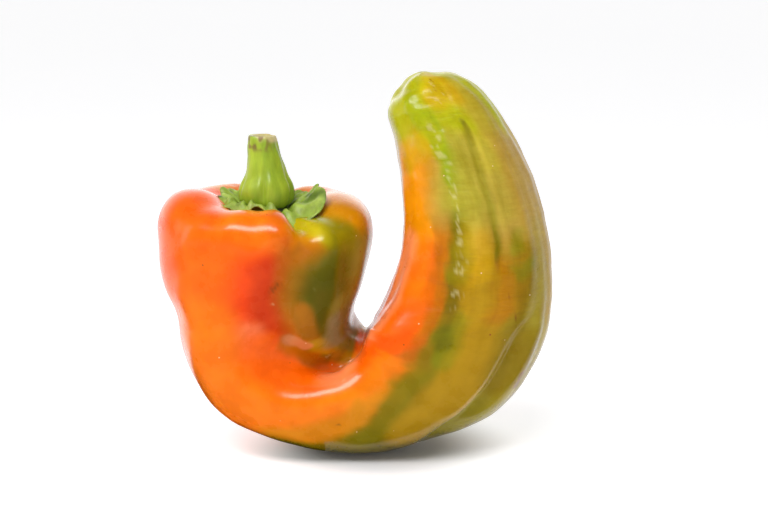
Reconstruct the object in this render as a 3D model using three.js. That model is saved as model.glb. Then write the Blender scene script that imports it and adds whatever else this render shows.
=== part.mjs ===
// A sweet pepper that has grown into a hook: a lobed head with a calyx and a cut stem,
// a tight bend at the bottom, and a thick tail that rises beside the head.
// Millimetres, +Z up. X runs from the head to the tail, Y runs away from the viewer.
// The origin is the middle of the bounding box's bottom face, where the fruit rests.

import * as THREE from "three";

// Gaps between the pieces, and how deep the flat spot it rests on cuts into the skin.
const CALYX_GAP = 0.35;
const STEM_GAP = 0.3;
const REST_DEPTH = 0.9;

// The head's axis and the heights of its crown.
const HEAD_X = -29.4;
const RECESS_FLOOR = 78.4;
const CREST_HEIGHT = 85.4;
const CREST_SHARE = 0.66;
const SHOULDER_FULLNESS = 2.3;

// Rungs cross the fruit from the inner side of the hook to the outer side, as [x, z] pairs.
// Front and back are how far the fruit reaches from the rung, towards the viewer and away.
const RUNGS = [
  { inner: [6.6, 73], outer: [-65.6, 75], front: 33, back: 33 },
  { inner: [3.6, 60.5], outer: [-64.2, 60], front: 32.5, back: 33 },
  { inner: [0.6, 52], outer: [-59.8, 49], front: 31.5, back: 32 },
  { inner: [-0.6, 46.5], outer: [-58, 36], front: 30, back: 31 },
  { inner: [-0.4, 43.6], outer: [-52.5, 23], front: 28.5, back: 29.5 },
  { inner: [0.6, 41.4], outer: [-41.6, 11.4], front: 27.5, back: 28 },
  { inner: [1.9, 40.2], outer: [-24.2, 4.2], front: 27, back: 27 },
  { inner: [3.3, 40.2], outer: [-2.5, 0.2], front: 26.5, back: 26.5 },
  { inner: [4.7, 41.6], outer: [15, 1.6], front: 26.5, back: 26 },
  { inner: [6.4, 44.4], outer: [31.5, 6.5], front: 27, back: 26 },
  { inner: [8.6, 48.6], outer: [47, 14], front: 27, back: 26 },
  { inner: [11.4, 55], outer: [58.5, 27.5], front: 27, back: 26 },
  { inner: [14.6, 64.5], outer: [64.8, 44], front: 26.5, back: 25.5 },
  { inner: [16.3, 76.5], outer: [65, 65.5], front: 25, back: 24 },
  { inner: [15.8, 88], outer: [61, 86.5], front: 22.5, back: 22 },
  { inner: [14.2, 100], outer: [54.4, 103.5], front: 19.5, back: 19 },
  { inner: [12.9, 110.5], outer: [45.8, 116.5], front: 16.5, back: 16 },
];
const FIRST_RUNG = 1;
const LAST_RUNG = RUNGS.length;
const TIP_END = LAST_RUNG + 1;

// The blunt tip rises from the last rung to this point.
const TIP_POINT = [22.6, 127.6];

// Rows of the skin in the crown, between two rungs and in the tip, and columns round it.
const CROWN_ROWS = 13;
const ROWS_PER_RUNG = 3;
const TIP_ROWS = 9;
const COLUMNS = 64;

// Angles run round the fruit: 0 is the inner side, 90 faces the viewer, 180 is the outer side.
// A place is 0 at the middle of the crown, 1 to 17 at the rungs and 18 at the tip.
// Grooves run from the crown to the tip where the inner walls hold the skin back.
const GROOVES = [
  {
    note: "right of the front lobe, down into the hollow of the bend",
    angle: [
      [0, 56], [1, 58], [2, 66], [3, 77], [4, 79], [5, 69], [6, 57], [7, 45], [8, 33],
      [9, 24], [10, 18], [18, 10],
    ],
    width: [[0, 9], [1, 12], [2, 17], [4, 21], [6, 19], [8, 17], [10, 14], [18, 12]],
    depth: [
      [0, 4], [0.6, 5.8], [1, 4.6], [2, 4.6], [4, 6.5], [5, 9], [6, 10.5], [7, 9.5], [8, 6],
      [9, 2], [10, 0.4], [12, 0], [18, 0],
    ],
  },
  {
    note: "beside the small lobe on the right",
    angle: [[0, 38], [1, 34], [3, 26], [5, 14], [7, 0], [18, -10]],
    width: [[0, 8], [18, 8]],
    depth: [[0, 2.4], [1, 1.8], [3, 1], [5, 1], [8, 0.4], [10, 0], [18, 0]],
  },
  {
    note: "between the left lobe and the front lobe, then along the front of the tail",
    angle: [
      [0, 134], [1, 140], [3, 150], [5, 158], [7, 164], [8, 150], [10, 118], [12, 90],
      [14, 74], [16, 68], [18, 64],
    ],
    width: [[0, 14], [8, 12], [18, 9]],
    depth: [[0, 2.4], [1, 1.4], [2.4, 0.5], [7, 0.4], [9, 0.3], [14, 0.6], [18, 0.8]],
  },
  {
    note: "crease behind the front of the bend, then up the tail",
    angle: [
      [0, 180], [8, 178], [9, 165], [10, 139], [11, 131], [12, 127], [13, 118], [14, 104],
      [15, 96], [16, 96], [17, 103], [18, 110],
    ],
    width: [[0, 8], [12, 8], [18, 7]],
    depth: [
      [0, 0], [8, 0], [9, 1], [10, 3.6], [11, 4], [12, 2.6], [13, 1], [14, 1.3], [16, 1.5],
      [17, 1.2], [18, 0.4],
    ],
  },
  {
    note: "left back",
    angle: [
      [0, 200], [1, 196], [3, 190], [5, 196], [7, 206], [10, 214], [14, 220], [18, 222],
    ],
    width: [[0, 12], [18, 12]],
    depth: [[0, 3.2], [1, 2.8], [3, 3.2], [5, 1.6], [8, 1.8], [12, 1.4], [18, 1]],
  },
  {
    note: "right back",
    angle: [[0, 288], [4, 292], [8, 296], [12, 290], [18, 288]],
    width: [[0, 14], [18, 13]],
    depth: [[0, 4], [0.6, 4.4], [1, 3], [5, 3], [8, 3.6], [11, 2], [14, 1.2], [18, 1]],
  },
];

// Rounded lobes that stand out of the skin.
const LOBES = [
  {
    note: "front of the tail, over the bend",
    angle: [[0, 40], [8, 44], [10, 38], [13, 34], [18, 34]],
    width: [[0, 20], [18, 20]],
    height: [[0, 0], [8, 0], [9.5, 2.2], [11, 2.2], [13, 0.6], [14.5, 0], [18, 0]],
  },
  {
    note: "back of the neck, over the bend",
    angle: [[0, -34], [18, -34]],
    width: [[0, 22], [18, 22]],
    height: [
      [0, 0], [2.5, 0], [4, 2.2], [5, 3.4], [7, 3], [8.5, 0.6], [10, 0], [18, 0],
    ],
  },
];

// Lobes of the crown stand higher on the left and the right than in front and behind.
const CREST_LIFTS = [
  { angle: 172, width: 40, height: 4.8 },
  { angle: -6, width: 26, height: 2 },
  { angle: 250, width: 44, height: 2.6 },
  { angle: 302, width: 24, height: 3 },
  { angle: 98, width: 22, height: 0.6 },
  { angle: 46, width: 16, height: -2 },
];

// Local swellings and dents of the skin: middle, radius and height.
const SWELLINGS = [
  { note: "knob beside the tip", at: [12.5, -3, 113.5], radius: 6, height: 1.2 },
  { note: "notch above the knob", at: [15, -2, 122], radius: 5, height: -2.2 },
  { note: "left back lobe", at: [-60, 14, 56], radius: 14, height: 3 },
];

const radians = THREE.MathUtils.degToRad;

// A smooth curve through [place, value] keys.
function along(keys, place) {
  let i = 0;
  while (i < keys.length - 2 && place > keys[i + 1][0]) i += 1;
  const slope = (a, b) => (b[1] - a[1]) / (b[0] - a[0]);
  const [before, from, to, after] = [keys[i - 1], keys[i], keys[i + 1], keys[i + 2]];
  const span = to[0] - from[0];
  const u = THREE.MathUtils.clamp((place - from[0]) / span, 0, 1);
  const leave = (before ? (slope(before, from) + slope(from, to)) / 2 : slope(from, to)) * span;
  const arrive = (after ? (slope(from, to) + slope(to, after)) / 2 : slope(from, to)) * span;
  return (
    from[1] * (2 * u ** 3 - 3 * u ** 2 + 1) +
    leave * (u ** 3 - 2 * u ** 2 + u) +
    to[1] * (3 * u ** 2 - 2 * u ** 3) +
    arrive * (u ** 3 - u ** 2)
  );
}

// The shortest turn between two angles, in degrees.
function turnBetween(a, b) {
  return THREE.MathUtils.euclideanModulo(a - b + 180, 360) - 180;
}

function hump(distance, width) {
  return Math.exp(-((distance / width) ** 2));
}

const innerEdge = new THREE.SplineCurve(RUNGS.map((r) => new THREE.Vector2(...r.inner)));
const outerEdge = new THREE.SplineCurve(RUNGS.map((r) => new THREE.Vector2(...r.outer)));
const frontReach = RUNGS.map((r, i) => [i + FIRST_RUNG, r.front]);
const backReach = RUNGS.map((r, i) => [i + FIRST_RUNG, r.back]);

// The plane section of the fruit at a place: its middle, its inward direction and its reaches.
function sectionAt(place) {
  const held = THREE.MathUtils.clamp(place, FIRST_RUNG, LAST_RUNG);
  const share = (held - FIRST_RUNG) / (LAST_RUNG - FIRST_RUNG);
  const inner = innerEdge.getPoint(share);
  const outer = outerEdge.getPoint(share);
  const middle = inner.clone().add(outer).multiplyScalar(0.5);
  const inward = inner.clone().sub(outer).normalize();
  return {
    middle,
    inward,
    reach: inner.distanceTo(outer) / 2,
    front: along(frontReach, held),
    back: along(backReach, held),
  };
}

function grooveDepth(place, angle) {
  let depth = 0;
  for (const groove of GROOVES) {
    const width = along(groove.width, place);
    const off = turnBetween(angle, along(groove.angle, place)) / width;
    depth += Math.max(0, along(groove.depth, place)) * Math.exp(0.35 - Math.hypot(off, 0.35));
  }
  return depth;
}

function lobeHeight(place, angle) {
  let height = 0;
  for (const lobe of LOBES) {
    const off = turnBetween(angle, along(lobe.angle, place));
    height += Math.max(0, along(lobe.height, place)) * hump(off, along(lobe.width, place));
  }
  return height;
}

// How far a plain section reaches at an angle, before grooves and lobes.
function sectionRadius(section, angle) {
  const fullness = 2.3;
  const deep = Math.sin(angle) > 0 ? section.front : section.back;
  const across = Math.abs(Math.cos(angle)) / section.reach;
  const away = Math.abs(Math.sin(angle)) / deep;
  return (across ** fullness + away ** fullness) ** (-1 / fullness);
}

function skinReach(section, place, degrees) {
  const plain = sectionRadius(section, radians(degrees));
  return plain - grooveDepth(place, degrees) + lobeHeight(place, degrees);
}

// A point of the section, at a distance from its middle.
function pointOfSection(section, angle, distance) {
  const inward = distance * Math.cos(angle);
  return new THREE.Vector3(
    section.middle.x + section.inward.x * inward,
    -distance * Math.sin(angle),
    section.middle.y + section.inward.y * inward,
  );
}

function crestHeight(degrees) {
  let height = CREST_HEIGHT;
  for (const lift of CREST_LIFTS) {
    height += lift.height * hump(turnBetween(degrees, lift.angle), lift.width);
  }
  return height - 0.75 * grooveDepth(0.6, degrees);
}

// The crown runs from the recess floor up over the shoulders to the first rung.
function crownPoint(place, degrees) {
  const section = sectionAt(FIRST_RUNG);
  const angle = radians(degrees);
  const full = skinReach(section, place, degrees);
  const equator = section.middle.y + section.inward.y * full * Math.cos(angle);
  const crest = crestHeight(degrees);
  const inside = place < 0.5;
  const turn = (inside ? place * 2 : place * 2 - 1) * Math.PI;
  const bulge = 2 / SHOULDER_FULLNESS;
  const share = inside
    ? CREST_SHARE * place * 2
    : CREST_SHARE + (1 - CREST_SHARE) * Math.sin(turn / 2) ** bulge;
  const height = inside
    ? RECESS_FLOOR + ((crest - RECESS_FLOOR) * (1 - Math.cos(turn))) / 2
    : equator + (crest - equator) * Math.cos(turn / 2) ** bulge;
  const point = pointOfSection(section, angle, full * share);
  point.z = height;
  return point;
}

// The tip is a blunt dome on the last rung.
function tipPoint(place, degrees) {
  const section = sectionAt(LAST_RUNG);
  const angle = radians(degrees);
  const full = skinReach(section, place, degrees);
  const rise = (place - LAST_RUNG) * (Math.PI / 2);
  const shrink = Math.cos(rise) ** 0.9;
  const point = pointOfSection(section, angle, full * shrink);
  const lift = Math.sin(rise) ** 1.15;
  point.x += (TIP_POINT[0] - section.middle.x) * lift;
  point.z += (TIP_POINT[1] - section.middle.y) * lift;
  return point;
}

function skinPoint(place, degrees) {
  if (place < FIRST_RUNG) return crownPoint(place, degrees);
  if (place > LAST_RUNG) return tipPoint(place, degrees);
  const section = sectionAt(place);
  return pointOfSection(section, radians(degrees), skinReach(section, place, degrees));
}

// A closed skin: rows between two poles, each row a ring of columns.
function closedSkin(start, rows, end) {
  const columns = rows[0].length;
  const points = [start, ...rows.flat(), end];
  const last = points.length - 1;
  const faces = [];
  const at = (row, column) => 1 + row * columns + (column % columns);
  for (let c = 0; c < columns; c += 1) {
    faces.push(0, at(0, c + 1), at(0, c));
    for (let r = 0; r < rows.length - 1; r += 1) {
      faces.push(at(r, c), at(r, c + 1), at(r + 1, c));
      faces.push(at(r, c + 1), at(r + 1, c + 1), at(r + 1, c));
    }
    faces.push(at(rows.length - 1, c), at(rows.length - 1, c + 1), last);
  }
  const geometry = new THREE.BufferGeometry();
  geometry.setAttribute(
    "position",
    new THREE.Float32BufferAttribute(points.flatMap((p) => p.toArray()), 3),
  );
  geometry.setIndex(faces);
  geometry.computeVertexNormals();
  return geometry;
}

// Places of the fruit's rows, from just off the crown's middle to just off the tip.
function fruitPlaces() {
  const places = [];
  for (let i = 1; i < CROWN_ROWS; i += 1) places.push(i / CROWN_ROWS);
  const steps = (LAST_RUNG - FIRST_RUNG) * ROWS_PER_RUNG;
  for (let i = 0; i <= steps; i += 1) places.push(FIRST_RUNG + i / ROWS_PER_RUNG);
  for (let i = 1; i < TIP_ROWS; i += 1) places.push(LAST_RUNG + i / TIP_ROWS);
  return places;
}

// Moves the skin in or out round each swelling.
function addSwellings(geometry) {
  const position = geometry.getAttribute("position");
  const normal = geometry.getAttribute("normal");
  for (let i = 0; i < position.count; i += 1) {
    const point = new THREE.Vector3().fromBufferAttribute(position, i);
    const out = new THREE.Vector3().fromBufferAttribute(normal, i);
    const moved = point.clone();
    for (const swelling of SWELLINGS) {
      const distance = point.distanceTo(new THREE.Vector3(...swelling.at));
      moved.addScaledVector(out, swelling.height * hump(distance, swelling.radius));
    }
    position.setXYZ(i, moved.x, moved.y, moved.z);
  }
}

// Presses the lowest part of the skin flat, where the fruit rests.
function pressFlat(geometry) {
  const position = geometry.getAttribute("position");
  geometry.computeBoundingBox();
  const rest = geometry.boundingBox.min.z + REST_DEPTH;
  for (let i = 0; i < position.count; i += 1) {
    position.setZ(i, Math.max(position.getZ(i), rest));
  }
  return rest;
}

function fruitGeometry() {
  const turns = Array.from({ length: COLUMNS }, (_, c) => (c * 360) / COLUMNS);
  const rows = fruitPlaces().map((place) => turns.map((turn) => skinPoint(place, turn)));
  return closedSkin(skinPoint(0, 0), rows, skinPoint(TIP_END, 0));
}

// Calyx: a thin collar that lies in the recess, with a ragged, waved edge.
const CALYX_COLUMNS = 60;
const CALYX_ROWS = 8;
const CALYX_THICKNESS = 1.7;
const CALYX_EDGE_THICKNESS = 1.1;
// The widest flap of the calyx lies on the crown's right side.
const CALYX_FLAP = { angle: 36, width: 24, reach: 0.16 };

// How far the calyx reaches at an angle, as a place on the crown.
function calyxReach(degrees) {
  const angle = radians(degrees);
  const lobes = 0.022 * Math.cos(5 * angle + 0.6) + 0.012 * Math.cos(12 * angle + 1.9);
  const flap = CALYX_FLAP.reach * hump(turnBetween(degrees, CALYX_FLAP.angle), CALYX_FLAP.width);
  return 0.34 + lobes + flap;
}

// How far the calyx stands up from the fruit, from its middle (0) to its edge (1).
function calyxLift(share, degrees) {
  const angle = radians(degrees);
  const curl = 0.7 + 0.4 * Math.cos(3 * angle + 1.1);
  const pleats = 0.3 * Math.cos(10 * angle + 0.4);
  return CALYX_GAP + Math.max(0, curl + pleats) * share ** 2;
}

function calyxUnder(share, degrees) {
  const point = crownPoint(calyxReach(degrees) * share, degrees);
  point.z += calyxLift(share, degrees);
  return point;
}

function calyxTop(share, degrees) {
  const point = calyxUnder(share, degrees);
  const thinning = CALYX_THICKNESS - CALYX_EDGE_THICKNESS;
  point.z += CALYX_THICKNESS - thinning * share ** 2;
  return point;
}

function calyxGeometry() {
  const turns = Array.from({ length: CALYX_COLUMNS }, (_, c) => (c * 360) / CALYX_COLUMNS);
  const shares = Array.from({ length: CALYX_ROWS }, (_, r) => (r + 1) / CALYX_ROWS);
  const top = shares.map((share) => turns.map((turn) => calyxTop(share, turn)));
  const under = shares.map((share) => turns.map((turn) => calyxUnder(share, turn))).reverse();
  return closedSkin(calyxTop(0, 0), [...top, ...under], calyxUnder(0, 0));
}

// Stem: a ridged stalk that flares into a lobed foot, cut across at its top.
const STEM_FLOOR = RECESS_FLOOR + CALYX_GAP + CALYX_THICKNESS + STEM_GAP;
const STEM_COLUMNS = 40;
const STEM_ROWS_PER_RING = 2;
// Rings up the stalk: height above the foot, radius and sideways lean.
const STEM_RINGS = [
  { height: 0, radius: 7, lean: 0 },
  { height: 0.5, radius: 8.8, lean: 0 },
  { height: 2, radius: 10.3, lean: 0.1 },
  { height: 5, radius: 10, lean: 0.2 },
  { height: 8.4, radius: 9, lean: 0.6 },
  { height: 12.4, radius: 7.9, lean: 1 },
  { height: 16.8, radius: 6.4, lean: 0.6 },
  { height: 21.2, radius: 5.2, lean: -0.4 },
  { height: 25.4, radius: 4.7, lean: -0.9 },
  { height: 26.3, radius: 4, lean: -1 },
];
const STEM_CUT_HOLLOW = 0.8;

// Height of the calyx's top at a distance from the head's axis.
function calyxTopHeight(radius, degrees) {
  const section = sectionAt(FIRST_RUNG);
  let place = 0;
  for (let i = 0; i < 3; i += 1) {
    place = radius / (2 * CREST_SHARE * skinReach(section, place, degrees));
  }
  return calyxTop(place / calyxReach(degrees), degrees).z;
}

// The foot lies on the calyx, so no point of the stem is lower than the calyx's top.
function stemPoint(ring, degrees) {
  const angle = radians(degrees);
  const keys = (name) => STEM_RINGS.map((r, i) => [i, r[name]]);
  const ridges = 0.045 * Math.cos(5 * angle + 0.5) + 0.02 * Math.cos(8 * angle + 2);
  const foot = Math.max(0, 1 - ring / 4);
  const radius = along(keys("radius"), ring) * (1 + ridges * (1 + foot));
  const scallop = 0.9 * foot * (0.5 - 0.5 * Math.cos(5 * angle + 0.5));
  const height = STEM_FLOOR + along(keys("height"), ring) + (ring > 0 ? scallop : 0);
  return new THREE.Vector3(
    HEAD_X + along(keys("lean"), ring) + radius * Math.cos(angle),
    -radius * Math.sin(angle),
    Math.max(height, calyxTopHeight(radius, degrees) + STEM_GAP),
  );
}

function stemGeometry() {
  const turns = Array.from({ length: STEM_COLUMNS }, (_, c) => (c * 360) / STEM_COLUMNS);
  const steps = (STEM_RINGS.length - 1) * STEM_ROWS_PER_RING;
  const rows = [];
  for (let i = steps; i >= 0; i -= 1) {
    rows.push(turns.map((turn) => stemPoint(i / STEM_ROWS_PER_RING, turn)));
  }
  const top = STEM_RINGS[STEM_RINGS.length - 1];
  const height = STEM_FLOOR + top.height - STEM_CUT_HOLLOW;
  const cut = new THREE.Vector3(HEAD_X + top.lean, 0, height);
  return closedSkin(cut, rows, new THREE.Vector3(HEAD_X, 0, STEM_FLOOR));
}

function piece(name, geometry, colour, roughness) {
  const material = new THREE.MeshStandardMaterial({ color: colour, roughness, metalness: 0 });
  const mesh = new THREE.Mesh(geometry, material);
  mesh.name = name;
  return mesh;
}

const fruit = fruitGeometry();
addSwellings(fruit);
const restHeight = pressFlat(fruit);
fruit.computeBoundingBox();
const box = fruit.boundingBox;

const pepper = new THREE.Group();
pepper.add(piece("fruit", fruit, 0xf0701c, 0.25));
pepper.add(piece("calyx", calyxGeometry(), 0x5c8a2c, 0.6));
pepper.add(piece("stem", stemGeometry(), 0x8cb028, 0.5));
pepper.position.set(-(box.min.x + box.max.x) / 2, -(box.min.y + box.max.y) / 2, -restHeight);

export default pepper;
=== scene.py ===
"""A sweet pepper that has grown into an upright hook, in the light of a pale studio.

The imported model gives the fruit, the calyx and the stem. Each piece gets a finer skin here,
with its own relief, its own painted colour and a finish read from the real thing.
"""

import math

import bmesh
import bpy
import numpy as np
from bpy.props import FloatProperty, FloatVectorProperty, IntProperty, PointerProperty
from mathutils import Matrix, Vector


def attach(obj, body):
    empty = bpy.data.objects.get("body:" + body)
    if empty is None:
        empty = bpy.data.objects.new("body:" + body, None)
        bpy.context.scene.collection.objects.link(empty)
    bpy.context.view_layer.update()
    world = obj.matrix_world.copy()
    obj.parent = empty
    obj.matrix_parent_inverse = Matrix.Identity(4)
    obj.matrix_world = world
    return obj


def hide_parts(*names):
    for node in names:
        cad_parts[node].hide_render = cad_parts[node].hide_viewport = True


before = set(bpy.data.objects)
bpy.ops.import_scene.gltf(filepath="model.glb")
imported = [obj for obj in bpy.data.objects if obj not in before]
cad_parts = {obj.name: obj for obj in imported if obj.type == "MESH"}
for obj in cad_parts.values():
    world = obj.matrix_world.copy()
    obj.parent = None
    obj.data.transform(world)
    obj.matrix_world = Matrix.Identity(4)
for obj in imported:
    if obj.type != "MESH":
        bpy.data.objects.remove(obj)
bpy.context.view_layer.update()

bl_info = {
    "name": "Hooked sweet pepper",
    "version": (1, 0, 0),
    "blender": (4, 5, 0),
    "location": "View3D > Sidebar > Pepper",
    "description": "Builds a sweet pepper grown into a hook, with its calyx, stem and studio",
    "category": "Object",
}

MM = 0.001
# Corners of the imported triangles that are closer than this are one.
MERGE_DISTANCE = 0.01 * MM

# The fruit as if it were straight: millimetres along it start at the left end of the bend,
# are negative up the head and go on over the bend and up the tail. The pivot is X and Z in mm,
# and the bend is widest at an angle in degrees from its left end.
BEND_PIVOT = (2.9, 43.5)
BEND_LENGTH = 88
BEND_RADIUS = 24.1
BEND_WIDENING = 8.6
BEND_WIDEST = 16
TAIL_STRETCH = 1.04
# Heights and places along X in mm: the tail's middle line, and the line between head and tail.
TAIL_MIDDLES = (
    (43.5, 35.0), (53.0, 39.4), (69.7, 40.3), (86.0, 38.1), (100.4, 34.0), (112.2, 29.0),
    (126.0, 22.3),
)
GAP_LINE = ((43.5, 2.9), (48.0, 3.5), (60.0, 7.9), (77.0, 10.3))
# Angles round the fruit are measured as distances on its skin at this radius in mm.
SKIN_RADIUS = 25

# In mm: where the stem's axis stands along X, how high the middle of its cut is, and how high
# the widest part of its foot.
STEM_X = -29.7
CUT_HEIGHT = 104.5
FOOT_HEIGHT = 88


def linear(hex_colour):
    """Turn an sRGB hex colour such as #ff8800 into the linear numbers that Blender uses."""
    parts = [int(hex_colour[i:i + 2], 16) / 255 for i in (1, 3, 5)]
    return tuple(p / 12.92 if p <= 0.04045 else ((p + 0.055) / 1.055) ** 2.4 for p in parts)


def colour(name, hex_colour, description):
    """Give a colour property with its default as an sRGB hex value."""
    return FloatVectorProperty(
        name=name, description=description, default=linear(hex_colour),
        subtype="COLOR", size=3, min=0, max=1,
    )


def length(name, millimetres, description):
    """Give a length property with its default in millimetres."""
    return FloatProperty(
        name=name, description=description, default=millimetres * MM,
        subtype="DISTANCE", unit="LENGTH", min=0,
    )


class PepperSkinColours(bpy.types.PropertyGroup):
    """The skin's colours as it ripens from green to red, and painted sheens and reflections."""

    # Scarlet is partly the ripest skin's own red and partly painted shade, deepening the red down
    # the valley of the head.
    scarlet: colour("Scarlet", "#c83200", "Ripest skin, deep in the hollow of the head")
    vermilion: colour("Vermilion", "#ec4000", "Ripe skin on the sides of the hollow")
    coral: colour("Coral", "#f65400", "Ripe skin on the left of the head")
    orange: colour("Orange", "#f46000", "Ripe skin over most of the head and the inner lobe")
    # Salmon is a painted sheen: the pale reflection on the lip of the hollow and along the tail's
    # inner edge.
    salmon_sheen: colour("Salmon", "#ff9460", "Paler ripe skin on the inner edge of the tail")
    tangerine: colour("Tangerine", "#f27600", "Nearly ripe skin, below the rim")
    apricot: colour("Apricot", "#ea8e00", "Turning skin up the inner side of the tail")
    amber: colour("Amber", "#d08200", "Turning skin between orange and ochre")
    pumpkin: colour("Pumpkin", "#d46000", "Dull orange skin inside the bend")
    copper: colour("Copper", "#b46400", "Brownish orange skin beside the green band")
    honey: colour("Honey", "#c69800", "Yellow skin on the crown's right side")
    lemon: colour("Lemon", "#c8b410", "Clear yellow skin on the small lobe and the tip")
    ochre: colour("Ochre", "#aa8208", "Turning skin over the front of the tail")
    bronze: colour("Bronze", "#866a00", "Dark turning skin along the green band")
    sand: colour("Sand", "#b2903a", "Dull pale skin on the tail's outer ridges")
    straw: colour("Straw", "#aa9c34", "Dull yellow-green skin beside the dashes")
    dusk: colour("Dusk", "#84782c", "Greyish olive skin on the right of the head")
    lime: colour("Lime", "#aaa80a", "Pale green skin near the tip")
    spring: colour("Spring", "#8a9a00", "Bright green skin high on the tail")
    leaf: colour("Leaf", "#788200", "Green skin along the front of the tail")
    olive: colour("Olive", "#7a7000", "Darker green skin on the bend")
    moss: colour("Moss", "#5c5800", "Dark green skin in the band")
    bottle: colour("Bottle", "#3c3c00", "Darkest green skin, on the small right lobe")
    # Ash is a painted reflection: grey gloss where the crook faces the bright surround.
    ash_reflection: colour("Ash", "#8c7e6c", "Greyish skin where the neck meets the bend")
    # Blush is a painted reflection: a pale pinkish patch of reflected light in the hollow.
    blush_reflection: colour("Blush", "#cc7c4c", "Pale worn skin in the hollow")
    umber: colour("Umber", "#7a4416", "Dry brown scars")
    # Cream is the cork's own pale colour, and on the green band's dashes also painted glints.
    cream: colour("Cream", "#d8cc94", "Pale cork of the dashes and scars")


class PepperFruitSettings(bpy.types.PropertyGroup):
    """Sizes of the fruit's relief."""

    fineness: IntProperty(
        name="Fineness", description="How often the skin is subdivided", default=2, min=0, max=2,
    )
    ridge_height: length("Ridge height", 0.3, "Height of the long ridges of the tail")
    wave_height: length("Wave height", 0.18, "Height of the slow waves all over the skin")
    wrinkle_height: length("Wrinkle height", 0.16, "Height of the short wrinkles across the tail")
    dent_depth: length("Dent depth", 0.14, "Depth of the small dents all over the skin")


class PepperGreensSettings(bpy.types.PropertyGroup):
    """Colours and relief of the calyx and the stem."""

    calyx: colour("Calyx", "#7a9424", "Leafy green of the collar")
    calyx_edge: colour("Calyx edge", "#a4b850", "Paler green on the lumps and the edge")
    # Calyx shade darkens withered spots at random, and as painted shade the crease beside the
    # right flap.
    calyx_shade: colour("Calyx shade", "#3e5a16", "Dark withered spots of the collar")
    stem: colour("Stem", "#a8bc30", "Light yellow-green of the stalk")
    # Stem shade darkens random streaks and, as painted shade, the stalk's right-hand side.
    stem_shade: colour("Stem shade", "#86a024", "Darker green streaks of the stalk")
    cut: colour("Cut", "#c4b67c", "Dry cut end")
    bruise: colour("Bruise", "#7a5a34", "Brown bruise on the cut end")
    vein_height: length("Vein height", 0.16, "Height of the veins of the collar")
    lump_height: length("Lump height", 0.9, "Height of the lumps round the stalk's foot")
    flap_height: length("Flap height", 3.4, "How far the collar's right flap stands up")
    flap_reach: length("Flap reach", 2.2, "How much further that flap reaches out in front")
    front_height: length("Front height", 1.2, "How far the collar stands up at the front")
    fibre_height: length("Fibre height", 0.06, "Height of the fibres along the stalk")
    bulge_height: length("Bulge height", 0.9, "How far the stalk's foot bulges")
    hollow_depth: length("Hollow depth", 1.2, "Depth of the hollow in the cut end")


class PepperStageSettings(bpy.types.PropertyGroup):
    """Camera."""

    aim_height: length("Aim height", 65.24, "Height of the point that the camera looks at")
    aim_side: length("Aim side", 9.49, "Distance of that point from the middle")
    distance: length("Distance", 602, "Distance from the camera to that point")
    elevation: FloatProperty(
        name="Elevation", description="How far the camera looks down", default=math.radians(11),
        subtype="ANGLE", unit="ROTATION",
    )
    lens: FloatProperty(
        name="Lens", description="Focal length", default=85, min=1, unit="CAMERA",
    )


def smooth_step(values, low, high):
    """Rise smoothly from 0 at low to 1 at high."""
    share = np.clip((values - low) / (high - low), 0, 1)
    return share * share * (3 - 2 * share)


def swell(values, middle, width):
    """Rise to 1 at the middle and fall off on both sides, to about a third at one width."""
    return np.exp(-((values - middle) / width) ** 2)


def ripple(places, size, seed, waves=9):
    """Give slow random waves between about -1 and 1, about size apart along each axis."""
    dice = np.random.default_rng(seed)
    total = np.zeros(len(places))
    for _ in range(waves):
        heading = dice.normal(size=3)
        heading *= dice.uniform(0.7, 1.5) / np.linalg.norm(heading)
        phase = dice.uniform(0, 6.3)
        total += np.sin(2 * math.pi * (places / np.array(size)) @ heading + phase)
    return total / math.sqrt(waves)


def unbend(points):
    """Give each point's place in mm as if the fruit were straight: inward, front, along."""
    x, y, z = points.T
    across = x - BEND_PIVOT[0]
    above = z - BEND_PIVOT[1]
    turn = np.arctan2(-above, -across)
    widest = math.radians(BEND_WIDEST)
    middle = BEND_RADIUS + BEND_WIDENING * np.cos(turn - widest) ** 2
    head_radius = BEND_RADIUS + BEND_WIDENING * math.cos(widest) ** 2
    in_bend = above < 0
    in_head = ~in_bend & (x < np.interp(z, *zip(*GAP_LINE)))
    inward = np.interp(z, *zip(*TAIL_MIDDLES)) - x
    along = BEND_LENGTH + above * TAIL_STRETCH
    inward = np.where(in_head, across + head_radius, inward)
    along = np.where(in_head, -above, along)
    inward = np.where(in_bend, middle - np.hypot(across, above), inward)
    along = np.where(in_bend, turn / math.pi * BEND_LENGTH, along)
    return np.column_stack((inward, -y, along))


def angle_round(places, drift=0):
    """Give each place's angle round the fruit in degrees, moved on by a drift in radians."""
    return np.degrees(np.arctan2(places[:, 1], places[:, 0]) + drift)


def turn_from(start, angles):
    """Give the shorter way round in degrees from a start to each angle."""
    return (angles - start + 180) % 360 - 180


def blended(colours, cover, shade):
    """Mix a shade into the colours by how much it covers each vertex."""
    return colours + cover[:, None] * (np.array(shade) - colours)


def merged_copy(node):
    """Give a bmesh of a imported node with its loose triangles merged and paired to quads."""
    copy = bmesh.new()
    copy.from_mesh(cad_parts[node].data)
    bmesh.ops.remove_doubles(copy, verts=copy.verts, dist=MERGE_DISTANCE)
    bmesh.ops.join_triangles(
        copy, faces=copy.faces, angle_face_threshold=math.radians(60),
        angle_shape_threshold=math.radians(80),
    )
    bmesh.ops.recalc_face_normals(copy, faces=copy.faces)
    return copy


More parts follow.
